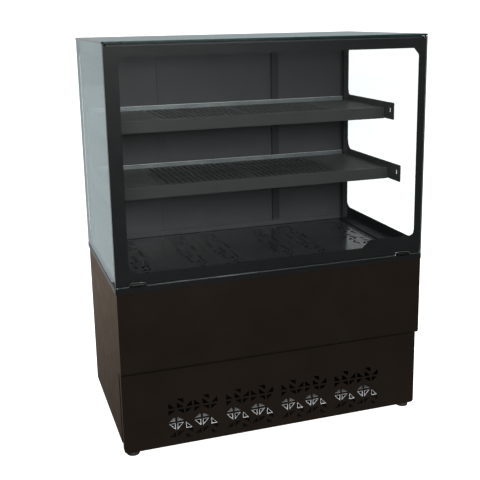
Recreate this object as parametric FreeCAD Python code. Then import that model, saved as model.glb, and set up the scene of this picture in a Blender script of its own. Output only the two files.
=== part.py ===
import FreeCAD, Part
import math
import os

from FreeCAD import Vector

# Heated display case for food: a glass box on a sheet-metal base cabinet.
# Millimetres. X runs left to right, Y front to back, Z up.
# The origin is on the floor, under the middle of the case.

# Overall size
WIDTH = 1000.0
DEPTH = 566.0
HEIGHT = 1246.0
HALF_W = WIDTH / 2
FRONT = -DEPTH / 2
BACK = DEPTH / 2

# Glass
GLASS = 6.0
INK = 0.4                          # printed enamel layer on the inner faces of the glass
INK_OFF = 0.02                     # part of that left clear, so that glass and print never share a face
OVERHANG = 2.0                     # top glass past the upright glass
TOP_GLASS_Z = HEIGHT - GLASS
UPRIGHT_TOP = TOP_GLASS_Z - INK
FRONT_FACE = FRONT + OVERHANG      # outer face of the front glass
FRONT_INNER = FRONT_FACE + GLASS
SIDE_FACE = HALF_W - OVERHANG      # outer face of the side glass
SIDE_INNER = SIDE_FACE - GLASS
SIDE_GLASS_FRONT = FRONT_INNER + 3.0
SIDE_GLASS_BACK = BACK - 4.0

# Heights of the base
PLINTH_Z = 14.0                    # underside of the kick panel
SIDE_BOTTOM = 32.0
FRAME_TOP = 545.0                  # top face of the base trim, where the glass stands
TRIM_H = 16.0
TRIM_BOTTOM = FRAME_TOP - TRIM_H
FASCIA_BOTTOM = 270.0
SHEET = 1.5

# Base outline
BASE_SIDE = HALF_W - 5.0           # outer face of the side panels
KICK_FACE = FRONT + 19.0
FASCIA_FACE = FRONT + 2.0
BACK_PANEL_Y = BACK - 4.0          # inner face of the back panel

# Printed border of the front glass
BORDER_LEFT = 42.0
BORDER_RIGHT = 26.0
WINDOW_TOP = 1203.0
WINDOW_BOTTOM = 584.0
CORNER_CUT = 20.0
STEP_H = 24.5                      # raised part of the lower border, at the right
STEP_FROM_LEFT = 745.0             # from the window's left edge to the start of the step

# Front hinges
HINGE_Y = FRONT_FACE + GLASS / 2
HINGE_Z = FRAME_TOP + 6.0
HINGE_X = HALF_W - 68.0            # middle of each hinge
PIN_R = 2.0
RUNNING = 0.05                     # radial play of the pins
FRONT_GLASS_BOTTOM = FRAME_TOP + 1.5

# Shelves and brackets
UPPER_SHELF_Z = 999.0
UPPER_SHELF_FRONT = -47.0
UPPER_BRACKET_FRONT = -115.0
MIDDLE_SHELF_Z = 798.0
MIDDLE_SHELF_FRONT = -80.0
MIDDLE_BRACKET_FRONT = -168.0
SHELF_BACK = 250.0
SHELF_HALF = 477.0
SHELF_CORNER = 459.0               # the back corners are cut out round the uprights
SHELF_SHEET = 2.0
LIP = 38.0
UPRIGHT_FRONT = 236.0
UPRIGHT_BACK = 254.0
UPRIGHT_SIDE = SHELF_HALF + 2.0      # outer face of the uprights and brackets

# Rear doors
TRACK_HALF = 486.5
INNER_DOOR_Y = 260.0
OUTER_DOOR_Y = 269.0
DOOR = 5.0
DOOR_BOTTOM = FRAME_TOP + 5.3
DOOR_TOP = 1224.0
STILE = 26.0
LEFT_STILE = 8.0
LEFT_DOOR = (-486.0, -228.0)
RIGHT_DOOR = (185.0, 461.0)
CENTRE_DOOR = (-237.0, 237.0)

# Deck
DECK_HALF = 441.0
DECK_FRONT = -225.0
DECK_BACK = 250.0
DECK_GAP = 1.0
OPENING_HALF = 430.0
OPENING_FRONT = -212.0
OPENING_BACK = 228.0
HOLE_X = 17.0                      # triangular holes of the deck plates
HOLE_Y = 22.0
HOLE_PITCH_X = 24.0
HOLE_PITCH_Y = 30.0

# Heat pan under the deck
PAN_HALF = OPENING_HALF
PAN_FRONT = OPENING_FRONT
PAN_BACK = OPENING_BACK
PAN_BOTTOM = 440.0
FAN_X = 60.0
FAN_Y = 20.0
ELEMENT_R = 4.0
ELEMENT_Z = 510.0
ELEMENT_BEND = 30.0
ELEMENT_Y = [-130.0 + 2 * ELEMENT_BEND * i for i in range(4)]
SADDLE_X = (-180.0, 220.0)

# Vents of the kick panel
VENT_GROUPS = 4
VENT_GROUP_PITCH = 185.5
VENT_MODULE_PITCH = 81.5
VENT_COLUMN_PITCH = 27.0
VENT_CELL = 20.0
VENT_FIRST_X = -355.0
# bottom and top of each row above the kick panel's underside, and where each cell's right angle is
VENT_ROWS = [
    (136.0, 153.0, (None, "top_right", None)),
    (123.0, 142.0, ("bottom_left", "bottom_left", "bottom_right")),
    (101.0, 117.0, ("top_left", "top_right", "top_left")),
    (79.0, 96.0, ("bottom_right", "bottom_left", None)),
    (50.0, 73.0, ("top_right", "top_left", "bottom_left")),
    (34.0, 48.0, (None, None, "top_right")),
    (27.0, 44.0, ("bottom_right", "top_left", None)),
    (18.0, 33.0, (None, None, "bottom_left")),
]
LIT_ROW = 4                        # the row backed by the bright strip

# Control recess and water tray in the back
RECESS = (180.0, 400.0, 240.0, BACK_PANEL_Y, 290.0, 385.0)
TRAY_X = (-400.0, -200.0)
TRAY_FRONT = -90.0
TRAY_BOTTOM = 446.0
TRAY_TOP = 486.0

KNOB_X = 345.0
SWITCH_X = (265.0, 295.0)
CONTROL_Z = 345.0
INLET_X = 215.0
LAMP_X = 385.0
PLATE_Y = RECESS[2] + SHEET        # the face that the controls stand on
PIVOT_Y = PLATE_Y + 0.5            # axis of the two rockers
ROCKER_TILT = 10.0

# Feet
FOOT_X = 465.0
FOOT_Y = (-240.0, 262.0)
FOOT_PAD_R = 20.0
STEM_R = 5.0


def box(x0, x1, y0, y1, z0, z1):
    return Part.makeBox(x1 - x0, y1 - y0, z1 - z0, Vector(x0, y0, z0))


def cylinder(radius, start, end):
    axis = Vector(*end) - Vector(*start)
    return Part.makeCylinder(radius, axis.Length, Vector(*start), axis)


def extrude(points, direction):
    """Prism from a closed outline of straight sides."""
    outline = Part.makePolygon([Vector(*p) for p in points + points[:1]])
    return Part.Face(outline).extrude(Vector(*direction))


def merge(shapes):
    whole = shapes[0].fuse(shapes[1:]) if len(shapes) > 1 else shapes[0]
    return whole.removeSplitter()


def cut(shape, tools):
    return shape.cut(Part.makeCompound(tools)) if tools else shape


def mirrored(shape):
    return shape.mirror(Vector(0, 0, 0), Vector(1, 0, 0))


def pair(shape):
    return Part.makeCompound([shape, mirrored(shape)])


def round_edges(shape, radius, wanted):
    edges = [e for e in shape.Edges if wanted(e)]
    return shape.makeFillet(radius, edges) if edges else shape


def upright_edge(edge):
    a, b = edge.Vertexes[0].Point, edge.Vertexes[-1].Point
    return abs(a.z - b.z) > 1.0 and abs(a.x - b.x) + abs(a.y - b.y) < 0.01


def save(name, shape):
    for index, solid in enumerate(shape.Solids):
        if not solid.isValid():
            print("invalid solid", name, index)
    solids = shape.Solids
    body = solids[0] if len(solids) == 1 else Part.makeCompound(solids)
    body.exportStep("parts/" + name + ".step")


# ---------------------------------------------------------------- glass box

def top_glass():
    pane = box(-HALF_W, HALF_W, FRONT, BACK, TOP_GLASS_Z, HEIGHT)
    pane = round_edges(pane, 8.0, upright_edge)
    top_rim = [e for e in pane.Edges if all(abs(v.Z - HEIGHT) < 0.01 for v in e.Vertexes)]
    return pane.makeChamfer(0.8, top_rim)


def top_glass_border():
    border = box(-HALF_W + 8, HALF_W - 8, FRONT + 8, BACK - 8, UPRIGHT_TOP, TOP_GLASS_Z - INK_OFF)
    window = box(-HALF_W + 44, HALF_W - 44, FRONT + 44, BACK - 44, UPRIGHT_TOP, TOP_GLASS_Z)
    return border.cut(round_edges(window, 22.0, upright_edge))


def side_glass():
    """The right one; the left one is its mirror image."""
    pane = box(SIDE_INNER, SIDE_FACE, SIDE_GLASS_FRONT, SIDE_GLASS_BACK, FRAME_TOP, TOP_GLASS_Z)
    return pane.makeChamfer(0.6, [e for e in pane.Edges if upright_edge(e)])


def side_glass_border():
    x0 = SIDE_INNER - INK
    border = box(x0, SIDE_INNER - INK_OFF, SIDE_GLASS_FRONT + 1, SIDE_GLASS_BACK - 1,
                 FRAME_TOP + 1, UPRIGHT_TOP - 1)
    window = box(x0, SIDE_INNER, -241.0, 266.0, WINDOW_BOTTOM + 3, WINDOW_TOP)

    def lengthwise(edge):
        a, b = edge.Vertexes[0].Point, edge.Vertexes[-1].Point
        return abs(a.x - b.x) > INK / 2

    return border.cut(round_edges(window, 32.0, lengthwise))


def front_notch(depth, margin=0.0):
    """Trapezium cut in the bottom edge of the glass above the right-hand hinge."""
    bottom, top = 28.0 + margin, 21.0 + margin
    low, high = FRONT_GLASS_BOTTOM - 1, FRONT_GLASS_BOTTOM + 10.5 + margin
    outline = [(HINGE_X - bottom, FRONT_FACE - 1, low), (HINGE_X + bottom, FRONT_FACE - 1, low),
               (HINGE_X + top, FRONT_FACE - 1, high), (HINGE_X - top, FRONT_FACE - 1, high)]
    return extrude(outline, (0, depth, 0))


def front_glass():
    pane = box(-SIDE_FACE, SIDE_FACE, FRONT_FACE, FRONT_INNER, FRONT_GLASS_BOTTOM, UPRIGHT_TOP - 1)
    pane = pane.makeChamfer(0.6, [e for e in pane.Edges if upright_edge(e)])
    notch = front_notch(GLASS + 2)
    pane = cut(pane, [notch, mirrored(notch)])
    low_front = [e for e in pane.Edges if all(abs(v.Y - FRONT_FACE) < 0.01 for v in e.Vertexes)
                 and e.CenterOfMass.z < FRONT_GLASS_BOTTOM + 12]
    return pane.makeChamfer(0.9, low_front)


def front_glass_border():
    y = FRONT_INNER
    edge = 1.0
    clear = 3.5                        # unprinted line along the bottom edge and round the notches
    clear_top = 6.5                    # unprinted line under the top glass
    left, right = -SIDE_FACE + BORDER_LEFT, SIDE_FACE - BORDER_RIGHT
    step_left = left + STEP_FROM_LEFT
    step_top = WINDOW_BOTTOM + STEP_H
    cut_small = CORNER_CUT - 3
    outline = [
        (left, y, WINDOW_BOTTOM + CORNER_CUT), (left + cut_small, y, WINDOW_BOTTOM),
        (step_left, y, WINDOW_BOTTOM), (step_left + STEP_H + 3, y, step_top),
        (right - 13, y, step_top), (right - 4, y, step_top + 5), (right, y, step_top + 15),
        (right, y, WINDOW_TOP - CORNER_CUT), (right - cut_small, y, WINDOW_TOP),
        (left + cut_small, y, WINDOW_TOP), (left, y, WINDOW_TOP - CORNER_CUT),
    ]
    window = extrude(outline, (0, INK, 0))
    border = box(-SIDE_FACE + edge, SIDE_FACE - edge, y + INK_OFF, y + INK,
                 FRONT_GLASS_BOTTOM + clear, UPRIGHT_TOP - clear_top)
    notch = front_notch(GLASS + 2, clear)
    return cut(border, [window, notch, mirrored(notch)])


def hinge_clip():
    """Moving knuckle in the notch, with a plate glued behind the glass; right-hand side."""
    half = 12.0
    gap = INK
    knuckle = cylinder(5.0, (HINGE_X - half, HINGE_Y, HINGE_Z), (HINGE_X + half, HINGE_Y, HINGE_Z))
    neck = box(HINGE_X - half, HINGE_X + half, HINGE_Y, FRONT_INNER + gap + 2.6,
               HINGE_Z, FRONT_GLASS_BOTTOM + 10.3)
    plate = box(HINGE_X - half, HINGE_X + half, FRONT_INNER + gap, FRONT_INNER + gap + 2.6,
                HINGE_Z, FRONT_GLASS_BOTTOM + 30)
    clip = merge([knuckle, neck, plate])
    bore = cylinder(PIN_R, (HINGE_X - half - 1, HINGE_Y, HINGE_Z), (HINGE_X + half + 1, HINGE_Y, HINGE_Z))
    return clip.cut(bore)


def hinge_pin():
    return cylinder(PIN_R, (HINGE_X - 20.0, HINGE_Y, HINGE_Z), (HINGE_X + 20.0, HINGE_Y, HINGE_Z))


def hinge_block():
    """Two fixed knuckles on a thin foot plate, right-hand side."""
    knuckles = []
    for x0, x1 in ((HINGE_X - 19.8, HINGE_X - 12.3), (HINGE_X + 12.3, HINGE_X + 19.8)):
        barrel = cylinder(5.0, (x0, HINGE_Y, HINGE_Z), (x1, HINGE_Y, HINGE_Z))
        leg = box(x0, x1, HINGE_Y - 4.0, HINGE_Y + 4.0, FRAME_TOP, HINGE_Z)
        knuckle = merge([barrel, leg])
        bore = cylinder(PIN_R + RUNNING, (x0 - 1, HINGE_Y, HINGE_Z), (x1 + 1, HINGE_Y, HINGE_Z))
        knuckles.append(knuckle.cut(bore))
    return Part.makeCompound(knuckles)


def front_seal():
    """Right-hand rubber strip on the side glass's front edge, and the shoe outside its lower corner."""
    y0 = FRONT_INNER + INK + 0.3
    strip = box(SIDE_INNER, SIDE_FACE, y0, SIDE_GLASS_FRONT, FRAME_TOP + 16, UPRIGHT_TOP - 2)
    heel = SIDE_GLASS_FRONT + 50
    x0, x1 = SIDE_FACE, SIDE_FACE + 1.0
    shoe = extrude([(x0, SIDE_GLASS_FRONT, FRAME_TOP), (x0, heel, FRAME_TOP), (x0, heel, FRAME_TOP + 4),
                    (x0, heel - 30, FRAME_TOP + 16), (x0, SIDE_GLASS_FRONT, FRAME_TOP + 16)],
                   (x1 - x0, 0, 0))
    return Part.makeCompound([strip, shoe])


def lamp_housing():
    """Folded channel along the front, under the top glass, open downwards."""
    y0, y1 = FRONT_INNER + 9, FRONT_INNER + 45
    z0, z1 = 1208.0, UPRIGHT_TOP
    shell = box(-SIDE_INNER + 6, SIDE_INNER - 6, y0, y1, z0, z1)
    hollow = box(-SIDE_INNER + 7.5, SIDE_INNER - 7.5, y0 + SHEET, y1 - SHEET, z0, z1 - SHEET)
    return shell.cut(hollow)


def lamp_diffuser():
    y0, y1 = FRONT_INNER + 9 + SHEET, FRONT_INNER + 45 - SHEET
    bar = box(-SIDE_INNER + 8, SIDE_INNER - 8, y0, y1, 1209.0, 1224.0)
    lower = [e for e in bar.Edges if abs(e.CenterOfMass.z - 1209.0) < 0.01 and e.Length > 100]
    return bar.makeFillet(5.0, lower)


# ---------------------------------------------------------------- rear doors

def track(z0, z1, web_top):
    """Three walls on a web; the doors run between the walls."""
    web = box(-TRACK_HALF, TRACK_HALF, 257.0, 277.0, z1 - 4.0 if web_top else z0,
              z1 if web_top else z0 + 4.0)
    walls = [box(-TRACK_HALF, TRACK_HALF, y0, y1, z0, z1)
             for y0, y1 in ((257.0, 259.5), (265.5, 268.5), (274.5, 277.0))]
    return merge([web] + walls)


def end_channel():
    """Upright channel that hides the outer end of the doors, right-hand side."""
    z0, z1 = FRAME_TOP, UPRIGHT_TOP
    inner = box(456.0, TRACK_HALF, 255.0, 257.0, z0, z1)
    outer = box(456.0, TRACK_HALF, 277.0, 279.0, z0, z1)
    web = box(TRACK_HALF, TRACK_HALF + 1.5, 255.0, 279.0, z0, z1)
    return merge([inner, outer, web])


def door_panel(x0, x1, y0):
    panel = box(x0, x1, y0, y0 + DOOR, DOOR_BOTTOM, DOOR_TOP)
    return panel.makeChamfer(0.5, [e for e in panel.Edges if upright_edge(e)])


def grip(x0, x1, face, side):
    """Flat stile glued to a door between the tracks; side is -1 inside the case, 1 outside."""
    thick = 2.6
    y0 = min(face, face + side * thick)
    stile = box(x0, x1, y0, y0 + thick, FRAME_TOP + 22, 1208.0)
    stile = round_edges(stile, 0.8, upright_edge)
    if side < 0:
        return stile
    middle = (x0 + x1) / 2
    groove = box(middle - 6, middle + 6, y0 + 1.0, y0 + thick + 1, 780.0, 980.0)
    return stile.cut(groove)


def side_door_grips(meeting_edge, far_edge, width):
    """Stile inside the meeting edge, and the finger grip outside near the far edge."""
    towards = 1 if far_edge > meeting_edge else -1
    stile = sorted((meeting_edge, meeting_edge + towards * width))
    pull = sorted((far_edge - towards * 56, far_edge - towards * 34))
    return Part.makeCompound([grip(stile[0], stile[1], INNER_DOOR_Y, -1),
                              grip(pull[0], pull[1], INNER_DOOR_Y + DOOR, 1)])


# ---------------------------------------------------------------- shelves

def slots_along_y(x_first, x_last, y_ranges, z, pitch=20.0, width=6.0):
    tools = []
    count = int(round((x_last - x_first) / pitch)) + 1
    for i in range(count):
        x = x_first + i * pitch
        for y0, y1 in y_ranges:
            tools.append(box(x - width / 2, x + width / 2, y0, y1, z - 5, z + 5))
    return tools


def slots_along_x(x_ranges, y_first, y_last, z, pitch=20.0, width=9.0):
    tools = []
    count = int(round((y_last - y_first) / pitch)) + 1
    for i in range(count):
        y = y_first + i * pitch
        for x0, x1 in x_ranges:
            tools.append(box(x0, x1, y - width / 2, y + width / 2, z - 5, z + 5))
    return tools


def shelf(front, top):
    """Slotted sheet with a deep front lip and shallow flanges at the ends and back."""
    t = SHELF_SHEET
    plate = box(-SHELF_HALF, SHELF_HALF, front, SHELF_BACK, top - t, top)
    lip = box(-SHELF_HALF, SHELF_HALF, front, front + t, top - LIP, top)
    hem = box(-SHELF_HALF, SHELF_HALF, front, front + 12, top - LIP, top - LIP + t)
    flange = box(SHELF_HALF - t, SHELF_HALF, front, SHELF_BACK, top - 22, top)
    back = box(-SHELF_HALF, SHELF_HALF, SHELF_BACK - t, SHELF_BACK, top - 22, top)
    corner = box(SHELF_CORNER, SHELF_HALF + 1, UPRIGHT_FRONT - 1, SHELF_BACK + 1, top - 40, top + 1)
    body = merge([plate, lip, hem, flange, mirrored(flange), back])
    body = cut(body, [corner, mirrored(corner)])
    nose = [e for e in body.Edges if e.Length > 900 and abs(e.CenterOfMass.y - front) < 0.01
            and abs(e.CenterOfMass.z - top) < 0.01]
    body = body.makeFillet(1.5, nose)
    y0, y1 = front + 18, SHELF_BACK - 18
    third = (y1 - y0 - 24) / 3
    runs = [(y0 + i * (third + 12), y0 + i * (third + 12) + third) for i in range(3)]
    ends = [(-462.0, -306.0), (306.0, 462.0)]
    rows = int((y1 - y0 - 12) // 20)
    tools = slots_along_y(-280.0, -20.0, runs, top) + slots_along_y(20.0, 280.0, runs, top)
    tools += slots_along_x(ends, y0 + 6, y0 + 6 + rows * 20.0, top)
    return cut(body, tools)


def shelf_rail(top):
    """Bright upstand along the back of a shelf."""
    half = SHELF_CORNER - 2
    rail = box(-half, half, SHELF_BACK - 10, SHELF_BACK - 8, top, top + 14)
    foot = box(-half, half, SHELF_BACK - 10, SHELF_BACK, top, top + 1.2)
    rail = merge([rail, foot])
    upper = [e for e in rail.Edges if e.Length > 900 and abs(e.CenterOfMass.z - top - 14) < 0.01]
    return rail.makeFillet(0.8, upper)


def bracket(front, top, bend):
    """Right-hand arm: a plate with an upright slot near its tip and a curved heel at the back."""
    x0, x1 = SHELF_HALF, UPRIGHT_SIDE
    low, high = top - 36, top + 20
    toe = UPRIGHT_FRONT - 3
    heel_top = high + bend + 4
    arm = extrude([(x0, front, low), (x0, UPRIGHT_FRONT - 40, low), (x0, UPRIGHT_FRONT, low - 14),
                   (x0, UPRIGHT_FRONT, heel_top), (x0, toe, heel_top), (x0, toe, high),
                   (x0, front, high)], (x1 - x0, 0, 0))

    def across_at(y, z):
        return lambda e: (abs(e.Length - (x1 - x0)) < 0.01 and abs(e.CenterOfMass.y - y) < 0.01
                          and (z is None or abs(e.CenterOfMass.z - z) < 0.01))

    arm = round_edges(arm, bend, across_at(toe, high))
    arm = round_edges(arm, 4.0, across_at(front, None))
    slot_y = front + 26
    slot = box(x0 - 1, x1 + 1, slot_y - 3, slot_y + 3, top - 14, top + 3)
    slot = slot.makeFillet(2.9, [e for e in slot.Edges if abs(e.Length - (x1 - x0 + 2)) < 0.01])
    return arm.cut(slot)


def rear_upright():
    """Slotted post in the right back corner."""
    x0, x1 = UPRIGHT_SIDE - 18, UPRIGHT_SIDE
    post = box(x0, x1, UPRIGHT_FRONT, UPRIGHT_BACK, FRAME_TOP, UPRIGHT_TOP)
    hollow = box(x0 + 2, x1 - 2, UPRIGHT_FRONT + 2, UPRIGHT_BACK - 2, FRAME_TOP, UPRIGHT_TOP)
    slots = [box(x0 + 6, x0 + 9.5, UPRIGHT_FRONT - 1, UPRIGHT_FRONT + 3, z, z + 14)
             for z in range(600, 1200, 50)]
    return cut(post, [hollow] + slots)


# ---------------------------------------------------------------- deck

def triangle(corner, x0, x1, low, high):
    """Three corners of a cell; the right angle is at the named one."""
    cell = {"bottom_left": (x0, low), "bottom_right": (x1, low),
            "top_right": (x1, high), "top_left": (x0, high)}
    opposite = {"bottom_left": "top_right", "top_right": "bottom_left",
                "bottom_right": "top_left", "top_left": "bottom_right"}
    return [point for name, point in cell.items() if name != opposite[corner]]


def deck_hole(corner, x, y, z):
    points = triangle(corner, x - HOLE_X / 2, x + HOLE_X / 2, y - HOLE_Y / 2, y + HOLE_Y / 2)
    return extrude([(px, py, z - 5) for px, py in points], (0, 0, 10))


def deck_plate(x0, x1):
    """Lift-out plate with a cluster of triangular holes near each end."""
    z1 = FRAME_TOP + SHEET
    plate = box(x0, x1, DECK_FRONT, DECK_BACK - 10, FRAME_TOP, z1)
    corners = ["bottom_left", "top_right", "bottom_right", "top_left"]
    margin = 24 + HOLE_X / 2
    tools = []
    for first in (x0 + margin, x1 - margin - 2 * HOLE_PITCH_X):
        for column in range(3):
            for row in range(14):
                if (column + 2 * row) % 5 != 4:
                    corner = corners[(column + row // 2) % 4]
                    y = DECK_FRONT + 40 + HOLE_PITCH_Y * row
                    tools.append(deck_hole(corner, first + HOLE_PITCH_X * column, y, z1))
    return cut(plate, tools)


def deck_edge_trims():
    """Sloped cover strips between the deck and the glass: two sides and the front."""
    low, high = FRAME_TOP + 3, FRAME_TOP + 13
    outer = SIDE_INNER - 1
    side = extrude([(449.0, -232.0, FRAME_TOP), (outer, -232.0, FRAME_TOP),
                    (outer, -232.0, high), (449.0, -232.0, low)], (0, UPRIGHT_FRONT - 1 + 232, 0))
    y0 = FRONT_INNER + 10
    front = extrude([(-outer, y0, FRAME_TOP), (-outer, -233.0, FRAME_TOP), (-outer, -233.0, low),
                     (-outer, y0, high)], (2 * outer, 0, 0))
    return Part.makeCompound([side, mirrored(side), front])


# ---------------------------------------------------------------- base cabinet

def base_trim():
    """Folded frame on top of the cabinet: a flat top with outer and inner skirts."""
    outer = box(-HALF_W + 1, HALF_W - 1, FRONT + 1, BACK - 2, TRIM_BOTTOM, FRAME_TOP)
    outer = round_edges(outer, 3.0, upright_edge)
    opening = box(-OPENING_HALF, OPENING_HALF, OPENING_FRONT, OPENING_BACK, TRIM_BOTTOM, FRAME_TOP)
    under = box(-HALF_W + 3, HALF_W - 3, FRONT + 3, BACK - 4, TRIM_BOTTOM, FRAME_TOP - 2)
    core = box(-OPENING_HALF - 2, OPENING_HALF + 2, OPENING_FRONT - 2, OPENING_BACK + 2,
               TRIM_BOTTOM, FRAME_TOP)
    return outer.cut(under.cut(core)).cut(opening)


def side_panel():
    """Right-hand panel, with a flange folded in at its front edge."""
    front = KICK_FACE + 38
    sheet = box(BASE_SIDE - SHEET, BASE_SIDE, front, BACK_PANEL_Y, SIDE_BOTTOM, FRAME_TOP - 2)
    flange = box(BASE_SIDE - 14, BASE_SIDE, front, front + SHEET, SIDE_BOTTOM + 26, FRAME_TOP - 2)
    return merge([sheet, flange])


def fascia_profile(x0, x1, offset, back):
    """Side view of the fascia: upright face with a round bottom corner."""
    radius = 15.0 - offset
    face, low, high = FASCIA_FACE + offset, FASCIA_BOTTOM + offset, TRIM_BOTTOM - offset
    centre_y, centre_z = face + radius, low + radius
    reach = radius * math.sqrt(0.5)
    arc = Part.Arc(Vector(x0, face, centre_z), Vector(x0, centre_y - reach, centre_z - reach),
                   Vector(x0, centre_y, low)).toShape()
    lines = [Part.makeLine(Vector(x0, centre_y, low), Vector(x0, back, low)),
             Part.makeLine(Vector(x0, back, low), Vector(x0, back, high)),
             Part.makeLine(Vector(x0, back, high), Vector(x0, face, high)),
             Part.makeLine(Vector(x0, face, high), Vector(x0, face, centre_z))]
    return Part.Face(Part.Wire([arc] + lines)).extrude(Vector(x1 - x0, 0, 0))


def fascia():
    """Upper front panel with wrapped sides that lap over the side panels."""
    half = BASE_SIDE + SHEET
    back = KICK_FACE + 52
    shell = fascia_profile(-half, half, 0.0, back)
    hollow = fascia_profile(-BASE_SIDE, BASE_SIDE, SHEET, back + 10)
    behind = box(-BASE_SIDE, BASE_SIDE, KICK_FACE, back + 10, FASCIA_BOTTOM - 1, TRIM_BOTTOM + 1)
    return cut(shell, [hollow, behind])


def vent_triangles(rows, inset, y0, y1):
    tools = []
    for group in range(VENT_GROUPS):
        for module in range(2):
            left = VENT_FIRST_X + group * VENT_GROUP_PITCH + module * VENT_MODULE_PITCH
            for low, high, corners in rows:
                for column, corner in enumerate(corners):
                    if corner:
                        x0 = left + column * VENT_COLUMN_PITCH
                        points = triangle(corner, x0, x0 + VENT_CELL + 1.5, low, high)
                        tools.append(vent_hole(points, inset, y0, y1))
    return tools


def vent_hole(points, inset, y0, y1):
    """One triangular hole, its outline moved in by the inset."""
    cx = sum(p[0] for p in points) / 3
    cz = sum(p[1] for p in points) / 3
    shrink = 1.0 - inset
    outline = [(cx + (x - cx) * shrink, y0, PLINTH_Z + cz + (z - cz) * shrink) for x, z in points]
    return extrude(outline, (0, y1 - y0, 0))


def kick_panel():
    """Lower front panel with side returns, a bottom fold, round lower corners and the vents."""
    inner = KICK_FACE + SHEET
    corner = 9.0
    top = FASCIA_BOTTOM + 30
    shell = box(-BASE_SIDE, BASE_SIDE, KICK_FACE, KICK_FACE + 21, PLINTH_Z, top)
    shell = round_edges(shell, corner, lambda e: abs(e.Length - 21) < 0.01
                        and abs(e.CenterOfMass.z - PLINTH_Z) < 0.01)
    hollow = box(-BASE_SIDE + SHEET, BASE_SIDE - SHEET, inner, KICK_FACE + 22, PLINTH_Z + SHEET, top + 1)
    hollow = round_edges(hollow, corner - SHEET, lambda e: abs(e.CenterOfMass.z - PLINTH_Z - SHEET) < 0.01
                         and abs(abs(e.CenterOfMass.x) - BASE_SIDE + SHEET) < 0.01)
    behind_fold = box(-BASE_SIDE + corner, BASE_SIDE - corner, KICK_FACE + 14, KICK_FACE + 22,
                      PLINTH_Z - 1, PLINTH_Z + SHEET + 1)
    return cut(shell, [hollow, behind_fold] + vent_triangles(VENT_ROWS, 0.0, KICK_FACE - 1, inner + 1))


def vent_backing_strip():
    """Galvanised strip behind the vents, with smaller holes behind one row."""
    y0 = KICK_FACE + SHEET
    low, high = PLINTH_Z + 48.8, PLINTH_Z + 80
    face = box(-455.0, 455.0, y0, y0 + 1.0, low, high)
    lean = extrude([(-455.0, y0, high), (-455.0, y0 + 1.0, high), (-455.0, y0 + 7.0, high + 8),
                    (-455.0, y0 + 6.0, high + 8)], (910.0, 0, 0))
    strip = merge([face, lean])
    return cut(strip, vent_triangles(VENT_ROWS[LIT_ROW:LIT_ROW + 1], 0.32, y0 - 1, y0 + 3))


def base_frame():
    """Welded square tube: four posts and a bottom ring, bored for the feet."""
    side, low = 20.0, SIDE_BOTTOM + 4
    x1 = BASE_SIDE - SHEET
    x0 = x1 - side
    front, back = FOOT_Y[0] - side / 2, FOOT_Y[1] - side / 2
    posts = [box(x0, x1, y, y + side, low, FRAME_TOP - 2) for y in (front, back)]
    posts += [mirrored(post) for post in posts]
    rails = [box(-x1, x1, y, y + side, low, low + side) for y in (front, back)]
    runner = box(x0, x1, front, back + side, low, low + side)
    frame = merge(posts + rails + [runner, mirrored(runner)])
    return cut(frame, [cylinder(STEM_R + RUNNING, (x, y, low - 1), (x, y, low + side + 1))
                       for x in (-FOOT_X, FOOT_X) for y in FOOT_Y])


def floor_pan():
    """Sheet floor of the cabinet, with holes for the feet and a flange turned down behind the kick panel."""
    inner = KICK_FACE + SHEET
    pan = box(-BASE_SIDE + SHEET, BASE_SIDE - SHEET, inner, BACK_PANEL_Y, SIDE_BOTTOM + 2, SIDE_BOTTOM + 4)
    flange = box(-BASE_SIDE + 14, BASE_SIDE - 14, inner, inner + SHEET,
                 PLINTH_Z + SHEET + 0.5, SIDE_BOTTOM + 4)
    holes = [cylinder(STEM_R + 1.5, (x, y, SIDE_BOTTOM), (x, y, SIDE_BOTTOM + 6))
             for x in (-FOOT_X, FOOT_X) for y in FOOT_Y]
    return cut(merge([pan, flange]), holes)


def back_panel():
    """Seven butted rear sheets round the tray's and the controls' openings; the lowest has louvre slots."""
    half_seam = 0.05
    tray = (TRAY_X[0] - 3, TRAY_X[1] + 3, TRAY_BOTTOM - 3, TRAY_TOP + 3)
    recess = (RECESS[0], RECESS[1], RECESS[4], RECESS[5])

    def sheet(x0, x1, z0, z1):
        return box(x0, x1, BACK_PANEL_Y, BACK_PANEL_Y + SHEET, z0 + half_seam, z1 - half_seam)

    lowest = sheet(-BASE_SIDE, BASE_SIDE, SIDE_BOTTOM, recess[2])
    louvres = [box(x - 60, x + 60, BACK_PANEL_Y - 1, BACK, z - 3, z + 3)
               for x in (-240, -80, 80, 240) for z in range(80, 221, 20)]
    return Part.makeCompound([cut(lowest, louvres),
                              sheet(-BASE_SIDE, recess[0], recess[2], recess[3]),
                              sheet(recess[1], BASE_SIDE, recess[2], recess[3]),
                              sheet(-BASE_SIDE, BASE_SIDE, recess[3], tray[2]),
                              sheet(-BASE_SIDE, tray[0], tray[2], tray[3]),
                              sheet(tray[1], BASE_SIDE, tray[2], tray[3]),
                              sheet(-BASE_SIDE, BASE_SIDE, tray[3], TRIM_BOTTOM)])


def foot(x, y):
    """Levelling foot: a round pad on a steel stem."""
    pad = cylinder(FOOT_PAD_R, (x, y, 0), (x, y, 9))
    pad = pad.makeChamfer(2.0, [e for e in pad.Edges if abs(e.CenterOfMass.z - 9) < 0.01 and e.Length > 50])
    stem = cylinder(STEM_R, (x, y, 9), (x, y, SIDE_BOTTOM + 22))
    nut = Part.Face(Part.makePolygon([Vector(x + 8 * math.cos(math.radians(a)),
                                             y + 8 * math.sin(math.radians(a)), 9)
                                      for a in range(0, 361, 60)])).extrude(Vector(0, 0, 6))
    return merge([pad, stem, nut])


# ---------------------------------------------------------------- heating

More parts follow.
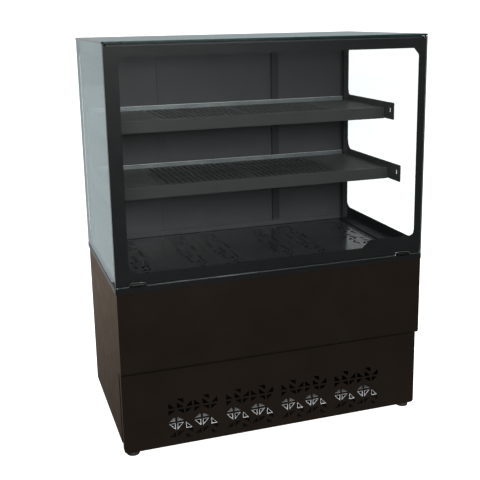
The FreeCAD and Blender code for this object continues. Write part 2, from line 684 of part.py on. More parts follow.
def heat_pan():
    """Open-topped pan hung in the trim's opening, with saddles and tray runners welded in."""
    floor = PAN_BOTTOM + SHEET
    shell = box(-PAN_HALF, PAN_HALF, PAN_FRONT, PAN_BACK, PAN_BOTTOM, FRAME_TOP - 3)
    hollow = box(-PAN_HALF + SHEET, PAN_HALF - SHEET, PAN_FRONT + SHEET, PAN_BACK - SHEET, floor, FRAME_TOP)
    tray_way = box(TRAY_X[0] - 3, TRAY_X[1] + 3, PAN_BACK - 5, PAN_BACK + 5, TRAY_BOTTOM - 3, TRAY_TOP + 3)
    intake = cylinder(52.0, (FAN_X, FAN_Y, PAN_BOTTOM - 1), (FAN_X, FAN_Y, floor + 1))
    pan = cut(shell, [hollow, tray_way, intake])
    fittings = [box(x, x + 14, TRAY_FRONT, PAN_BACK - SHEET, floor, TRAY_BOTTOM - 0.3)
                for x in (TRAY_X[0] - 2, TRAY_X[1] - 12)]
    for x in SADDLE_X:
        fittings.append(box(x - 6, x + 6, ELEMENT_Y[0] - 20, ELEMENT_Y[-1] + 20, floor, floor + SHEET))
        fittings += [box(x - 6, x + 6, y - 2, y + 2, floor, ELEMENT_Z - ELEMENT_R) for y in ELEMENT_Y]
    return merge([pan] + fittings)


def heating_element():
    """Tubular element: four long runs joined by half-circle bends, its ends at the pan's wall."""
    left, right, bend, z = -330.0, 330.0, ELEMENT_BEND, ELEMENT_Z
    terminal = -PAN_HALF + SHEET
    starts = [terminal, right, left, right]
    ends = [right, left, right, terminal]
    edges = []
    for i, y in enumerate(ELEMENT_Y):
        edges.append(Part.makeLine(Vector(starts[i], y, z), Vector(ends[i], y, z)))
        if i < 3:
            tip = ends[i] + bend if ends[i] > 0 else ends[i] - bend
            edges.append(Part.Arc(Vector(ends[i], y, z), Vector(tip, y + bend, z),
                                  Vector(ends[i], y + 2 * bend, z)).toShape())
    path = Part.Wire(edges)
    section = Part.Wire(Part.makeCircle(ELEMENT_R, Vector(terminal, ELEMENT_Y[0], z), Vector(1, 0, 0)))
    return path.makePipeShell([section], True, False)


def fan_frame():
    """Square axial fan housing with a round throat and four motor arms."""
    x, y, z0, z1 = FAN_X, FAN_Y, PAN_BOTTOM - 28, PAN_BOTTOM
    frame = box(x - 60, x + 60, y - 60, y + 60, z0, z1)
    frame = round_edges(frame, 6.0, upright_edge)
    throat = cylinder(57.0, (x, y, z0 - 1), (x, y, z1 + 1))
    holes = [cylinder(2.2, (x + a, y + b, z0 - 1), (x + a, y + b, z1 + 1))
             for a in (-52, 52) for b in (-52, 52)]
    ring = cut(frame, [throat] + holes)
    motor = cylinder(18.0, (x, y, z0), (x, y, z0 + 6))
    arms = [box(x - 58, x + 58, y - 3, y + 3, z0, z0 + 4), box(x - 3, x + 3, y - 58, y + 58, z0, z0 + 4)]
    shaft = cylinder(2.0, (x, y, z0 + 6), (x, y, z0 + 22))
    return merge([ring, motor] + arms + [shaft])


def fan_blade():
    """Seven-bladed rotor that turns on the shaft."""
    x, y, z0 = FAN_X, FAN_Y, PAN_BOTTOM - 20
    hub = cylinder(19.0, (x, y, z0), (x, y, z0 + 16))
    blades = []
    for i in range(7):
        blade = box(0, 36, -1.0, 1.0, -9, 9)
        blade.rotate(Vector(0, 0, 0), Vector(1, 0, 0), 52)
        blade.translate(Vector(17, 0, 8))
        blade.rotate(Vector(0, 0, 0), Vector(0, 0, 1), 360.0 * i / 7)
        blade.translate(Vector(x, y, z0))
        blades.append(blade)
    bore = cylinder(2.0 + RUNNING, (x, y, z0 - 1), (x, y, z0 + 20))
    return merge([hub] + blades).cut(bore)


def water_tray():
    """Open tray that slides out at the back, with a face plate and a finger pocket."""
    x0, x1 = TRAY_X
    back = BACK_PANEL_Y + SHEET + 0.3
    shell = box(x0, x1, TRAY_FRONT, back, TRAY_BOTTOM, TRAY_TOP)
    hollow = box(x0 + 1.2, x1 - 1.2, TRAY_FRONT + 1.2, back - 13, TRAY_BOTTOM + 1.2, TRAY_TOP + 1)
    plate = box(x0 - 8, x1 + 8, back, back + SHEET, TRAY_BOTTOM - 8, TRAY_TOP + 8)
    plate = round_edges(plate, 3.0, lambda e: abs(e.Length - SHEET) < 0.01)
    pocket = box(x0 + 50, x1 - 50, back - 11, BACK, TRAY_BOTTOM + 10, TRAY_TOP - 8)
    return cut(merge([cut(shell, [hollow]), plate]), [pocket])


# ---------------------------------------------------------------- controls

def control_box():
    """Recessed sheet tray in the back, with cut-outs for the controls."""
    x0, x1, y0, y1, z0, z1 = RECESS
    shell = box(x0, x1, y0, y1, z0, z1)
    hollow = box(x0 + SHEET, x1 - SHEET, y0 + SHEET, y1 + 1, z0 + SHEET, z1 - SHEET)
    ways = [cylinder(6.0, (KNOB_X, y0 - 1, CONTROL_Z), (KNOB_X, y0 + 4, CONTROL_Z)),
            cylinder(6.2, (LAMP_X, y0 - 1, CONTROL_Z), (LAMP_X, y0 + 4, CONTROL_Z)),
            box(INLET_X - 14, INLET_X + 14, y0 - 1, y0 + 4, CONTROL_Z - 12, CONTROL_Z + 12)]
    ways += [box(x - 7, x + 7, y0 - 1, y0 + 4, CONTROL_Z - 11, CONTROL_Z + 11) for x in SWITCH_X]
    return cut(shell, [hollow] + ways)


def thermostat_body():
    """Thermostat behind the recess, with its shaft coming through."""
    y0 = RECESS[2]
    case = box(KNOB_X - 22, KNOB_X + 22, y0 - 32, y0, CONTROL_Z - 22, CONTROL_Z + 22)
    case = round_edges(case, 3.0, upright_edge)
    shaft = cylinder(3.0, (KNOB_X, y0 - 1, CONTROL_Z), (KNOB_X, PLATE_Y + 14, CONTROL_Z))
    return merge([case, shaft])


def thermostat_knob():
    """Knob with a pointer ridge and a skirt."""
    start = PLATE_Y + 1.0
    skirt = cylinder(22.0, (KNOB_X, start, CONTROL_Z), (KNOB_X, start + 3, CONTROL_Z))
    grip_part = cylinder(16.0, (KNOB_X, start + 3, CONTROL_Z), (KNOB_X, start + 20, CONTROL_Z))
    flutes = [cylinder(2.2, (KNOB_X + 17 * math.cos(a), start + 4, CONTROL_Z + 17 * math.sin(a)),
                       (KNOB_X + 17 * math.cos(a), start + 21, CONTROL_Z + 17 * math.sin(a)))
              for a in [math.radians(20 * i) for i in range(18)]]
    pointer = box(KNOB_X - 1.2, KNOB_X + 1.2, start + 3, start + 21, CONTROL_Z, CONTROL_Z + 15)
    bore = cylinder(3.0 + RUNNING, (KNOB_X, start - 1, CONTROL_Z), (KNOB_X, start + 16, CONTROL_Z))
    return cut(merge([cut(merge([skirt, grip_part]), flutes), pointer]), [bore])


def switch_housing(x):
    y0 = RECESS[2]
    bezel = box(x - 9, x + 9, PLATE_Y, PLATE_Y + 2, CONTROL_Z - 14, CONTROL_Z + 14)
    case = box(x - 6.8, x + 6.8, y0 - 18, PLATE_Y + 2, CONTROL_Z - 10.8, CONTROL_Z + 10.8)
    well = box(x - 5.8, x + 5.8, y0 - 8, PLATE_Y + 3, CONTROL_Z - 9.8, CONTROL_Z + 9.8)
    bore = cylinder(1.0 + RUNNING, (x - 6.6, PIVOT_Y, CONTROL_Z), (x + 6.6, PIVOT_Y, CONTROL_Z))
    return cut(merge([bezel, case]), [well, bore])


def rocker(x):
    """Rocker with pivot stubs, shown pressed at its lower end."""
    half = 5.4
    outline = [(-8.2, -1.5), (-8.2, 3.4), (0.0, 2.0), (8.2, 3.4), (8.2, -1.5), (0.0, -4.0)]
    body = extrude([(x - half, PIVOT_Y + y, CONTROL_Z + z) for z, y in outline], (2 * half, 0, 0))
    body.rotate(Vector(x, PIVOT_Y, CONTROL_Z), Vector(1, 0, 0), -ROCKER_TILT)
    stub = cylinder(1.0, (x - 6.4, PIVOT_Y, CONTROL_Z), (x + 6.4, PIVOT_Y, CONTROL_Z))
    return merge([body, stub])


def pilot_lamp():
    lens = cylinder(7.5, (LAMP_X, PLATE_Y, CONTROL_Z), (LAMP_X, PLATE_Y + 4, CONTROL_Z))
    lens = lens.makeFillet(2.0, [e for e in lens.Edges
                                 if abs(e.CenterOfMass.y - PLATE_Y - 4) < 0.01 and e.Length > 20])
    barrel = cylinder(6.0, (LAMP_X, RECESS[2] - 16, CONTROL_Z), (LAMP_X, PLATE_Y, CONTROL_Z))
    return merge([lens, barrel])


def power_inlet():
    """Appliance inlet set in the recess: a flange round a socket with three pins."""
    y0 = RECESS[2]
    flange = box(INLET_X - 18, INLET_X + 18, PLATE_Y, PLATE_Y + 2.5, CONTROL_Z - 15, CONTROL_Z + 15)
    case = box(INLET_X - 13.5, INLET_X + 13.5, y0 - 20, PLATE_Y + 2.5, CONTROL_Z - 11.5, CONTROL_Z + 11.5)
    socket = box(INLET_X - 11.5, INLET_X + 11.5, y0 - 14, PLATE_Y + 4, CONTROL_Z - 8.5, CONTROL_Z + 8.5)
    pins = [box(INLET_X + dx - 1, INLET_X + dx + 1, y0 - 15, y0 - 1, CONTROL_Z + dz - 2, CONTROL_Z + dz + 2)
            for dx, dz in ((-7, -2), (0, 3), (7, -2))]
    return merge([merge([flange, case]).cut(socket)] + pins)


def back_screws():
    """Pan-head screws around the back panel."""
    screws = []
    y0 = BACK_PANEL_Y + SHEET
    spots = [(x, z) for x in (-478.0, 478.0) for z in (60.0, 300.0, 515.0)]
    spots += [(x, z) for x in (-160.0, 160.0) for z in (48.0, 515.0)]
    for x, z in spots:
        head = cylinder(4.0, (x, y0, z), (x, y0 + 1.8, z))
        slot = box(x - 3, x + 3, y0 + 1.1, y0 + 3, z - 0.5, z + 0.5)
        screws.append(head.cut(slot))
    return Part.makeCompound(screws)


def main():
    os.makedirs("parts", exist_ok=True)

    save("top_glass", top_glass())
    save("top_glass_border", top_glass_border())
    save("side_glass_right", side_glass())
    save("side_glass_left", mirrored(side_glass()))
    save("side_glass_border_right", side_glass_border())
    save("side_glass_border_left", mirrored(side_glass_border()))
    save("front_glass", front_glass())
    save("front_glass_border", front_glass_border())
    save("glass_hinge_clips", pair(hinge_clip()))
    save("glass_hinge_pins", pair(hinge_pin()))
    save("glass_hinge_blocks", pair(hinge_block()))
    save("front_seals", pair(front_seal()))
    save("lamp_housing", lamp_housing())
    save("lamp_diffuser", lamp_diffuser())

    save("rear_track_upper", track(1212.0, UPRIGHT_TOP, True))
    save("rear_track_lower", track(FRAME_TOP, FRAME_TOP + 15, False))
    save("rear_end_channels", pair(end_channel()))
    save("rear_door_left", door_panel(*LEFT_DOOR, INNER_DOOR_Y))
    save("rear_door_right", door_panel(*RIGHT_DOOR, INNER_DOOR_Y))
    save("rear_door_centre", door_panel(*CENTRE_DOOR, OUTER_DOOR_Y))
    save("rear_door_left_grips", side_door_grips(LEFT_DOOR[1], LEFT_DOOR[0], LEFT_STILE))
    save("rear_door_right_grips", side_door_grips(RIGHT_DOOR[0], RIGHT_DOOR[1], STILE))
    outer_face = OUTER_DOOR_Y + DOOR
    save("rear_door_centre_grips", pair(grip(CENTRE_DOOR[1] - STILE, CENTRE_DOOR[1], outer_face, 1)))

    save("shelf_upper", shelf(UPPER_SHELF_FRONT, UPPER_SHELF_Z))
    save("shelf_middle", shelf(MIDDLE_SHELF_FRONT, MIDDLE_SHELF_Z))
    save("shelf_rear_rails", Part.makeCompound([shelf_rail(UPPER_SHELF_Z), shelf_rail(MIDDLE_SHELF_Z)]))
    save("shelf_brackets_upper", pair(bracket(UPPER_BRACKET_FRONT, UPPER_SHELF_Z, 12.0)))
    save("shelf_brackets_middle", pair(bracket(MIDDLE_BRACKET_FRONT, MIDDLE_SHELF_Z, 28.0)))
    save("rear_uprights", pair(rear_upright()))

    third = 2 * DECK_HALF / 3
    for index, name in enumerate(("left", "centre", "right")):
        x0 = -DECK_HALF + index * third + DECK_GAP / 2
        save("deck_plate_" + name, deck_plate(x0, x0 + third - DECK_GAP))
    save("deck_edge_trims", deck_edge_trims())

    save("base_trim", base_trim())
    save("base_frame", base_frame())
    save("side_panel_right", side_panel())
    save("side_panel_left", mirrored(side_panel()))
    save("fascia", fascia())
    save("kick_panel", kick_panel())
    save("vent_backing_strip", vent_backing_strip())
    save("floor_pan", floor_pan())
    save("back_panel", back_panel())
    save("back_panel_screws", back_screws())
    for x, side in ((-FOOT_X, "left"), (FOOT_X, "right")):
        save("foot_front_" + side, foot(x, FOOT_Y[0]))
        save("foot_rear_" + side, foot(x, FOOT_Y[1]))

    save("heat_pan", heat_pan())
    save("heating_element", heating_element())
    save("fan_frame", fan_frame())
    save("fan_blade", fan_blade())
    save("water_tray", water_tray())

    save("control_box", control_box())
    save("thermostat_body", thermostat_body())
    save("thermostat_knob", thermostat_knob())
    save("switch_housings", Part.makeCompound([switch_housing(x) for x in SWITCH_X]))
    save("power_rocker", rocker(SWITCH_X[0]))
    save("lamp_rocker", rocker(SWITCH_X[1]))
    save("pilot_lamp", pilot_lamp())
    save("power_inlet", power_inlet())


main()
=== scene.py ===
import math

import bpy
from mathutils import Matrix, Vector

# Looks of a heated glass display case. Metres, Z up, in the CAD model's frame.

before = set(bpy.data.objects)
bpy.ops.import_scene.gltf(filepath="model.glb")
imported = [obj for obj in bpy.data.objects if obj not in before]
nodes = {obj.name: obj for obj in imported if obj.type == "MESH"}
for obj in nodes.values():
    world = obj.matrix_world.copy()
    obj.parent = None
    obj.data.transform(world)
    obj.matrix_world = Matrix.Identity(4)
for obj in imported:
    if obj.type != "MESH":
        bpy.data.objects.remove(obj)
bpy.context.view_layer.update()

WHITE = (1.0, 1.0, 1.0, 1.0)
COOL_WHITE = (0.96, 0.99, 1.0, 1.0)
# what reflections and light find in front of the case, and beside and behind it
DIM = 0.03
FLOOR_GLOW = 0.72
WORLD_GLOW = 0.66
# index of the factor, the two colours and the result of a colour mix node
MIX_FACTOR, MIX_FIRST, MIX_SECOND, MIX_COLOUR = 0, 6, 7, 2


# ------------------------------------------------------------------ materials

def material(name):
    """A new material with its node tree, its Principled node and its output."""
    made = bpy.data.materials.new(name)
    made.use_nodes = True
    tree = made.node_tree
    shader = tree.nodes["Principled BSDF"]
    return made, tree, shader


def place(tree, stretch=(1, 1, 1)):
    """Object coordinates in metres, stretched along an axis for grain."""
    coords = tree.nodes.new("ShaderNodeTexCoord")
    mapping = tree.nodes.new("ShaderNodeMapping")
    mapping.inputs["Scale"].default_value = stretch
    tree.links.new(coords.outputs["Object"], mapping.inputs["Vector"])
    return mapping.outputs["Vector"]


def noise(tree, vector, scale, detail=4.0, roughness=0.55):
    node = tree.nodes.new("ShaderNodeTexNoise")
    node.inputs["Scale"].default_value = scale
    node.inputs["Detail"].default_value = detail
    node.inputs["Roughness"].default_value = roughness
    tree.links.new(vector, node.inputs["Vector"])
    return node.outputs["Fac"]


def spread(tree, value, low, high, start=0.3, end=0.7):
    """Maps a noise's usual range to low..high."""
    node = tree.nodes.new("ShaderNodeMapRange")
    node.inputs["From Min"].default_value = start
    node.inputs["From Max"].default_value = end
    node.inputs["To Min"].default_value = low
    node.inputs["To Max"].default_value = high
    tree.links.new(value, node.inputs["Value"])
    return node.outputs["Result"]


def blend_colours(tree, value, first, second, start=0.3, end=0.7):
    ramp = tree.nodes.new("ShaderNodeValToRGB")
    ramp.color_ramp.elements[0].position = start
    ramp.color_ramp.elements[1].position = end
    ramp.color_ramp.elements[0].color = (*first, 1)
    ramp.color_ramp.elements[1].color = (*second, 1)
    tree.links.new(value, ramp.inputs["Fac"])
    return ramp.outputs["Color"]


def bump(tree, shader, height, strength, distance):
    node = tree.nodes.new("ShaderNodeBump")
    node.inputs["Strength"].default_value = strength
    node.inputs["Distance"].default_value = distance
    tree.links.new(height, node.inputs["Height"])
    tree.links.new(node.outputs["Normal"], shader.inputs["Normal"])


def mix_colours(tree, factor, first, second):
    """Blends a colour socket towards a plain colour."""
    node = tree.nodes.new("ShaderNodeMix")
    node.data_type = "RGBA"
    tree.links.new(factor, node.inputs[MIX_FACTOR])
    tree.links.new(first, node.inputs[MIX_FIRST])
    node.inputs[MIX_SECOND].default_value = (*second, 1)
    return node.outputs[MIX_COLOUR]


def powder_coat(name, dark, light, rough, specular=0.5, peel=0.1, flake=0.0, tint=(1, 1, 1)):
    """Painted sheet: faint cloudy colour, orange-peel bump and uneven gloss; flake adds a metallic sheen."""
    made, tree, shader = material(name)
    here = place(tree)
    clouds = noise(tree, here, 7.0, 5.0)
    tree.links.new(blend_colours(tree, clouds, dark, light), shader.inputs["Base Color"])
    tree.links.new(spread(tree, noise(tree, here, 22.0, 6.0), rough - 0.03, rough + 0.04),
                   shader.inputs["Roughness"])
    shader.inputs["Specular IOR Level"].default_value = specular
    shader.inputs["Specular Tint"].default_value = (*tint, 1)
    shader.inputs["Metallic"].default_value = flake
    bump(tree, shader, noise(tree, here, 420.0, 2.0), peel, 0.00005)
    return made


def brushed(name, dark, light, rough, metallic=1.0, painted_top_highlight=None):
    """Metal with fine brush lines along X, and a painted highlight: a brighter colour on its upward faces if
    one is given.
    """
    made, tree, shader = material(name)
    lines = noise(tree, place(tree, (0.02, 1, 1)), 900.0, 3.0)
    patches = noise(tree, place(tree), 12.0, 4.0)
    colour = blend_colours(tree, patches, dark, light)
    # painted highlight: upward faces are lightened to stand for the light they catch
    if painted_top_highlight:
        normal = tree.nodes.new("ShaderNodeNewGeometry")
        split = tree.nodes.new("ShaderNodeSeparateXYZ")
        tree.links.new(normal.outputs["True Normal"], split.inputs["Vector"])
        top_highlight_mask = spread(tree, split.outputs["Z"], 0.0, 1.0, 0.05, 0.5)
        colour = mix_colours(tree, top_highlight_mask, colour, painted_top_highlight)
    tree.links.new(colour, shader.inputs["Base Color"])
    tree.links.new(spread(tree, lines, rough - 0.08, rough + 0.12), shader.inputs["Roughness"])
    shader.inputs["Metallic"].default_value = metallic
    bump(tree, shader, lines, 0.3, 0.00006)
    return made


def spangle(name, dark, light, rough, shade_low, shade_high):
    """Galvanised sheet: a mosaic of dull crystals, with painted shade that darkens it from one height up to
    another.
    """
    made, tree, shader = material(name)
    cells = tree.nodes.new("ShaderNodeTexVoronoi")
    cells.inputs["Scale"].default_value = 140.0
    here = place(tree)
    tree.links.new(here, cells.inputs["Vector"])
    split = tree.nodes.new("ShaderNodeSeparateColor")
    tree.links.new(cells.outputs["Color"], split.inputs["Color"])
    crystals = blend_colours(tree, split.outputs["Red"], dark, light, 0.0, 1.0)
    where = tree.nodes.new("ShaderNodeSeparateXYZ")
    tree.links.new(here, where.inputs["Vector"])
    # painted shade: the sheet turns near black above a height, standing for shade under the fold
    painted_shade = spread(tree, where.outputs["Z"], 0.0, 1.0, shade_low, shade_high)
    tree.links.new(mix_colours(tree, painted_shade, crystals, (0.03, 0.03, 0.031)), shader.inputs["Base Color"])
    uneven = spread(tree, split.outputs["Green"], rough - 0.1, rough + 0.1, 0, 1)
    tree.links.new(uneven, shader.inputs["Roughness"])
    shader.inputs["Metallic"].default_value = 0.15
    return made


def moulded(name, dark, light, rough):
    """Plastic or rubber with a fine moulded grain."""
    grain = 0.0004
    made, tree, shader = material(name)
    here = place(tree)
    tree.links.new(blend_colours(tree, noise(tree, here, 60.0), dark, light), shader.inputs["Base Color"])
    uneven = spread(tree, noise(tree, here, 90.0), rough - 0.05, rough + 0.07)
    tree.links.new(uneven, shader.inputs["Roughness"])
    bump(tree, shader, noise(tree, here, 0.5 / grain, 2.0), 0.3, grain * 0.15)
    return made


def enamel(name):
    """Black print on the back of the glass, with faint pinholes."""
    made, tree, shader = material(name)
    here = place(tree)
    black = blend_colours(tree, noise(tree, here, 9.0), (0.0092, 0.0092, 0.0096), (0.0112, 0.0112, 0.0117))
    tree.links.new(black, shader.inputs["Base Color"])
    tree.links.new(spread(tree, noise(tree, here, 35.0), 0.32, 0.42), shader.inputs["Roughness"])
    shader.inputs["Specular IOR Level"].default_value = 0.12
    bump(tree, shader, noise(tree, here, 1400.0, 2.0), 0.1, 0.00003)
    return made


def pane(name, axis, through, edge_dark, edge_light, sheen):
    """Clear glass: its faces mirror more at a low angle and let the rest through; its cut edges are solid."""
    made, tree, edge = material(name)
    links = tree.links
    here = place(tree)
    facing = tree.nodes.new("ShaderNodeLayerWeight")
    facing.inputs["Blend"].default_value = 0.5
    power = tree.nodes.new("ShaderNodeMath")
    power.operation = "POWER"
    power.inputs[1].default_value = 5.0
    links.new(facing.outputs["Facing"], power.inputs[0])
    mirror = spread(tree, power.outputs["Value"], 0.04, 0.97, 0.0, 1.0)
    clear = tree.nodes.new("ShaderNodeBsdfTransparent")
    links.new(blend_colours(tree, noise(tree, here, 3.0), through, [c * 0.99 for c in through]),
              clear.inputs["Color"])
    gloss = tree.nodes.new("ShaderNodeBsdfGlossy")
    gloss.inputs["Roughness"].default_value = 0.0
    gloss.inputs["Color"].default_value = (0.87 * sheen, 0.98 * sheen, sheen, 1)
    face = tree.nodes.new("ShaderNodeMixShader")
    links.new(mirror, face.inputs["Fac"])
    links.new(clear.outputs["BSDF"], face.inputs[1])
    links.new(gloss.outputs["BSDF"], face.inputs[2])

    links.new(blend_colours(tree, noise(tree, here, 40.0), edge_dark, edge_light), edge.inputs["Base Color"])
    links.new(spread(tree, noise(tree, here, 120.0), 0.08, 0.2), edge.inputs["Roughness"])
    normal = tree.nodes.new("ShaderNodeNewGeometry")
    split = tree.nodes.new("ShaderNodeSeparateXYZ")
    links.new(normal.outputs["True Normal"], split.inputs["Vector"])
    size = tree.nodes.new("ShaderNodeMath")
    size.operation = "ABSOLUTE"
    links.new(split.outputs[axis], size.inputs[0])
    is_edge = tree.nodes.new("ShaderNodeMath")
    is_edge.operation = "LESS_THAN"
    is_edge.inputs[1].default_value = 0.9
    links.new(size.outputs["Value"], is_edge.inputs[0])
    whole = tree.nodes.new("ShaderNodeMixShader")
    links.new(is_edge.outputs["Value"], whole.inputs["Fac"])
    links.new(face.outputs["Shader"], whole.inputs[1])
    links.new(edge.outputs["BSDF"], whole.inputs[2])
    links.new(whole.outputs["Shader"], tree.nodes["Material Output"].inputs["Surface"])
    return made


GLASS_THROUGH = (0.985, 0.995, 0.992)
EDGE_DARK = (0.006, 0.018, 0.017)
EDGE_LIGHT = (0.012, 0.030, 0.028)
SIDE_GLASS = pane("side_glass", "X", GLASS_THROUGH, EDGE_DARK, EDGE_LIGHT, 0.84)
# the front glass's cut edges are painted pale grey, a painted highlight so its bottom edge reads as a lit
# line
FRONT_GLASS = pane("front_glass", "Y", GLASS_THROUGH, (0.15, 0.155, 0.16), (0.20, 0.205, 0.21), 0.9)
TOP_GLASS = pane("top_glass", "Z", GLASS_THROUGH, EDGE_DARK, EDGE_LIGHT, 0.62)
ENAMEL = enamel("black_enamel")
BASE_PAINT = powder_coat("base_paint", (0.0205, 0.0155, 0.0120), (0.0245, 0.0186, 0.0145), 0.30,
                         specular=0.0, flake=0.5, tint=(1.0, 0.80, 0.66))
TRIM_PAINT = powder_coat("trim_paint", (0.0068, 0.0070, 0.0074), (0.0084, 0.0086, 0.0090), 0.34, specular=0.2)
FRAME_PAINT = powder_coat("frame_paint", (0.040, 0.041, 0.044), (0.046, 0.047, 0.050), 0.42, specular=0.3)
SHELF_PAINT = powder_coat("shelf_paint", (0.035, 0.035, 0.035), (0.041, 0.041, 0.041), 0.42, specular=0.12)
POST_PAINT = powder_coat("post_paint", (0.021, 0.021, 0.022), (0.026, 0.026, 0.027), 0.40, specular=0.2)
DECK_PAINT = powder_coat("deck_paint", (0.022, 0.023, 0.024), (0.028, 0.029, 0.030), 0.14, specular=0.6,
                         peel=0.03)
DOOR_SHEET = powder_coat("door_sheet", (0.040, 0.041, 0.043), (0.046, 0.047, 0.049), 0.34, specular=0.25,
                         peel=0.04)
# near black: black paint, darkened further as painted shade so the inside of the base reads black through the
# vents
TUBE_PAINT = powder_coat("tube_paint", (0.0035, 0.0035, 0.0035), (0.0050, 0.0050, 0.0050), 0.6, specular=0.1)
HINGE_BLACK = powder_coat("hinge_black", (0.003, 0.003, 0.003), (0.005, 0.005, 0.005), 0.4, specular=0.15)
# grey brushed steel whose upward faces are painted near white, a painted highlight
STEEL_PAINTED_TOP = brushed("bright_steel", (0.10, 0.115, 0.115), (0.15, 0.165, 0.165), 0.34, metallic=0.5,
                       painted_top_highlight=(0.80, 0.84, 0.84))
PAN_STEEL = brushed("pan_steel", (0.10, 0.10, 0.105), (0.14, 0.14, 0.145), 0.38)
ELEMENT_STEEL = brushed("element_steel", (0.14, 0.12, 0.11), (0.22, 0.19, 0.16), 0.45)
# the vent backing strip's upper part is darkened as painted shade
ZINC = spangle("zinc_sheet", (0.48, 0.49, 0.50), (0.66, 0.67, 0.68), 0.5, 0.080, 0.096)
BLACK_PLASTIC = moulded("black_plastic", (0.014, 0.014, 0.014), (0.020, 0.020, 0.020), 0.45)
RUBBER = moulded("black_rubber", (0.010, 0.010, 0.010), (0.015, 0.015, 0.015), 0.7)
FOOT_PLASTIC = moulded("foot_plastic", (0.012, 0.012, 0.012), (0.020, 0.020, 0.020), 0.55)
DIFFUSER = moulded("diffuser", (0.66, 0.65, 0.62), (0.74, 0.73, 0.70), 0.35)
DIFFUSER.node_tree.nodes["Principled BSDF"].inputs["Emission Color"].default_value = (1.0, 0.95, 0.88, 1)
DIFFUSER.node_tree.nodes["Principled BSDF"].inputs["Emission Strength"].default_value = 0.35
ROCKER_RED = moulded("rocker_red", (0.30, 0.015, 0.010), (0.36, 0.020, 0.014), 0.25)
LENS_AMBER = moulded("lens_amber", (0.65, 0.24, 0.02), (0.72, 0.30, 0.03), 0.15)

LOOKS = {
    "top_glass": TOP_GLASS, "side_glass_left": SIDE_GLASS, "side_glass_right": SIDE_GLASS,
    "front_glass": FRONT_GLASS, "top_glass_border": ENAMEL, "side_glass_border_left": ENAMEL,
    "side_glass_border_right": ENAMEL, "front_glass_border": ENAMEL,
    "glass_hinge_clips": HINGE_BLACK, "glass_hinge_pins": HINGE_BLACK, "glass_hinge_blocks": HINGE_BLACK,
    "front_seals": RUBBER, "lamp_housing": FRAME_PAINT, "lamp_diffuser": DIFFUSER,
    "rear_track_upper": FRAME_PAINT, "rear_track_lower": FRAME_PAINT, "rear_end_channels": POST_PAINT,
    "rear_door_left": DOOR_SHEET, "rear_door_centre": DOOR_SHEET, "rear_door_right": DOOR_SHEET,
    "rear_door_left_grips": DOOR_SHEET, "rear_door_right_grips": POST_PAINT,
    "rear_door_centre_grips": FRAME_PAINT,
    "shelf_upper": SHELF_PAINT, "shelf_middle": SHELF_PAINT, "shelf_rear_rails": STEEL_PAINTED_TOP,
    "shelf_brackets_upper": SHELF_PAINT, "shelf_brackets_middle": SHELF_PAINT, "rear_uprights": POST_PAINT,
    "deck_plate_left": DECK_PAINT, "deck_plate_centre": DECK_PAINT, "deck_plate_right": DECK_PAINT,
    "deck_edge_trims": TRIM_PAINT, "base_trim": TRIM_PAINT, "base_frame": TUBE_PAINT,
    "side_panel_left": BASE_PAINT, "side_panel_right": BASE_PAINT, "fascia": BASE_PAINT,
    "kick_panel": BASE_PAINT, "vent_backing_strip": ZINC, "floor_pan": TUBE_PAINT, "back_panel": BASE_PAINT,
    "back_panel_screws": STEEL_PAINTED_TOP,
    "foot_front_left": FOOT_PLASTIC, "foot_front_right": FOOT_PLASTIC,
    "foot_rear_left": FOOT_PLASTIC, "foot_rear_right": FOOT_PLASTIC,
    "heat_pan": PAN_STEEL, "heating_element": ELEMENT_STEEL, "water_tray": PAN_STEEL,
    "fan_frame": BLACK_PLASTIC, "fan_blade": BLACK_PLASTIC,
    "control_box": BASE_PAINT, "thermostat_body": BLACK_PLASTIC, "thermostat_knob": BLACK_PLASTIC,
    "switch_housings": BLACK_PLASTIC, "power_rocker": ROCKER_RED, "lamp_rocker": ROCKER_RED,
    "pilot_lamp": LENS_AMBER, "power_inlet": BLACK_PLASTIC,
}

for name, look in LOOKS.items():
    node = nodes[name]
    node.data.materials.clear()
    node.data.materials.append(look)


def soften(name, width):
    """Rounds a sheet part's sharp edges so that they catch the light."""
    node = nodes[name]
    weld = node.modifiers.new("weld", "WELD")
    weld.merge_threshold = 0.00001
    bevel = node.modifiers.new("bevel", "BEVEL")
    bevel.width = width
    bevel.segments = 2
    bevel.limit_method = "ANGLE"
    bevel.angle_limit = math.radians(40)
    bevel.use_clamp_overlap = True


for name in ("side_panel_left", "side_panel_right", "control_box", "rear_track_lower",
             "rear_track_upper", "rear_end_channels"):
    soften(name, 0.0004)
for name in ("base_trim", "fascia"):
    soften(name, 0.0007)
for name in ("water_tray", "deck_edge_trims"):
    soften(name, 0.0005)


# ------------------------------------------------------------------ stage

def camera_rays(tree, seen, lit):
    """One shader for what is seen directly, another for the light it gives and what is reflected."""
    path = tree.nodes.new("ShaderNodeLightPath")
    mix = tree.nodes.new("ShaderNodeMixShader")
    tree.links.new(path.outputs["Is Camera Ray"], mix.inputs["Fac"])
    tree.links.new(lit, mix.inputs[1])
    tree.links.new(seen, mix.inputs[2])
    return mix.outputs["Shader"]


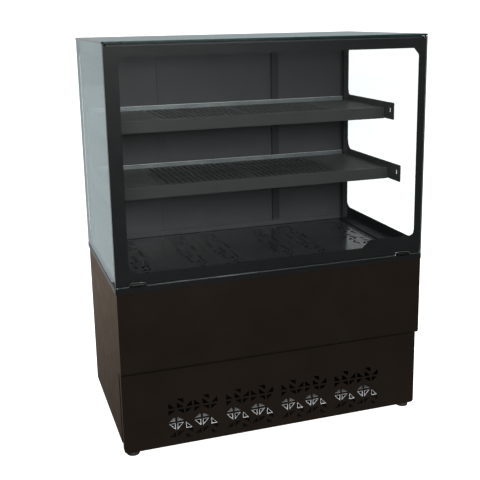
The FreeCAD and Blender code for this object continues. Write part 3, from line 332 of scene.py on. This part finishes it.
def make_floor():
    """Large white floor, level with the feet; reflections find it dark in front and pale behind."""
    made, tree, shader = material("pale_floor")
    here = place(tree)
    tree.links.new(blend_colours(tree, noise(tree, here, 1.5), (0.80, 0.80, 0.80), (0.82, 0.82, 0.82)),
                   shader.inputs["Base Color"])
    shader.inputs["Roughness"].default_value = 1.0
    shader.inputs["Specular IOR Level"].default_value = 0.0
    shader.inputs["Emission Color"].default_value = WHITE
    shader.inputs["Emission Strength"].default_value = 1.0
    split = tree.nodes.new("ShaderNodeSeparateXYZ")
    tree.links.new(here, split.inputs["Vector"])
    glow = tree.nodes.new("ShaderNodeEmission")
    glow.inputs["Color"].default_value = COOL_WHITE
    tree.links.new(spread(tree, split.outputs["Y"], DIM, FLOOR_GLOW, -1.0, 1.6), glow.inputs["Strength"])
    tree.links.new(camera_rays(tree, shader.outputs["BSDF"], glow.outputs["Emission"]),
                   tree.nodes["Material Output"].inputs["Surface"])
    mesh = bpy.data.meshes.new("floor")
    half = 14.0
    corners = [(-half, -half, 0), (half, -half, 0), (half, half, 0), (-half, half, 0)]
    mesh.from_pydata(corners, [], [(0, 1, 2, 3)])
    mesh.materials.append(made)
    floor = bpy.data.objects.new("floor", mesh)
    bpy.context.scene.collection.objects.link(floor)


def make_world():
    """White seen directly. As light it is bright at the sides and overhead and dim in front."""
    world = bpy.data.worlds.new("studio")
    bpy.context.scene.world = world
    world.use_nodes = True
    tree = world.node_tree
    tree.nodes.clear()
    coords = tree.nodes.new("ShaderNodeTexCoord")
    split = tree.nodes.new("ShaderNodeSeparateXYZ")
    tree.links.new(coords.outputs["Generated"], split.inputs["Vector"])
    to_front = spread(tree, split.outputs["Y"], DIM, WORLD_GLOW, -0.75, 0.1)
    light = tree.nodes.new("ShaderNodeBackground")
    tree.links.new(to_front, light.inputs["Strength"])
    light.inputs["Color"].default_value = COOL_WHITE
    white = tree.nodes.new("ShaderNodeBackground")
    white.inputs["Color"].default_value = WHITE
    white.inputs["Strength"].default_value = 1.4
    out = tree.nodes.new("ShaderNodeOutputWorld")
    tree.links.new(camera_rays(tree, white.outputs["Background"], light.outputs["Background"]),
                   out.inputs["Surface"])


def soft_box(name, where, aim, size, watts):
    light = bpy.data.lights.new(name, "AREA")
    light.shape = "RECTANGLE"
    light.size, light.size_y = size
    light.energy = watts
    lamp = bpy.data.objects.new(name, light)
    lamp.location = where
    lamp.rotation_mode = "QUATERNION"
    lamp.rotation_quaternion = (Vector(aim) - Vector(where)).to_track_quat("-Z", "Y")
    bpy.context.scene.collection.objects.link(lamp)


def make_camera():
    """A long lens at chest height, to the left of the case and turned towards it."""
    place_of_eye = (-0.8415, -2.5296, 1.3074)
    yaw, pitch, roll = math.radians(18.604), math.radians(13.072), math.radians(-0.949)
    ahead = Vector((math.sin(yaw) * math.cos(pitch), math.cos(yaw) * math.cos(pitch), -math.sin(pitch)))
    right = Vector((math.cos(yaw), -math.sin(yaw), 0))
    up = right.cross(ahead)
    tilted_right = math.cos(roll) * right + math.sin(roll) * up
    tilted_up = math.cos(roll) * up - math.sin(roll) * right
    turn = Matrix((tilted_right, tilted_up, -ahead)).transposed()
    data = bpy.data.cameras.new("camera")
    data.sensor_width = 36.0
    data.lens = 61.41
    data.shift_x = -0.0218
    data.shift_y = -0.0711
    data.clip_end = 100
    camera = bpy.data.objects.new("camera", data)
    camera.matrix_world = Matrix.Translation(place_of_eye) @ turn.to_4x4()
    bpy.context.scene.collection.objects.link(camera)
    bpy.context.scene.camera = camera


make_floor()
make_world()
make_camera()
soft_box("overhead", (0.0, 0.1, 3.4), (0, 0, 0), (3.0, 2.4), 42)
soft_box("front", (-0.3, -3.0, 1.85), (0, -0.2, 0.8), (2.6, 1.0), 125)
bpy.context.scene.view_settings.view_transform = "Standard"
bpy.context.scene.cycles.transparent_max_bounces = 24
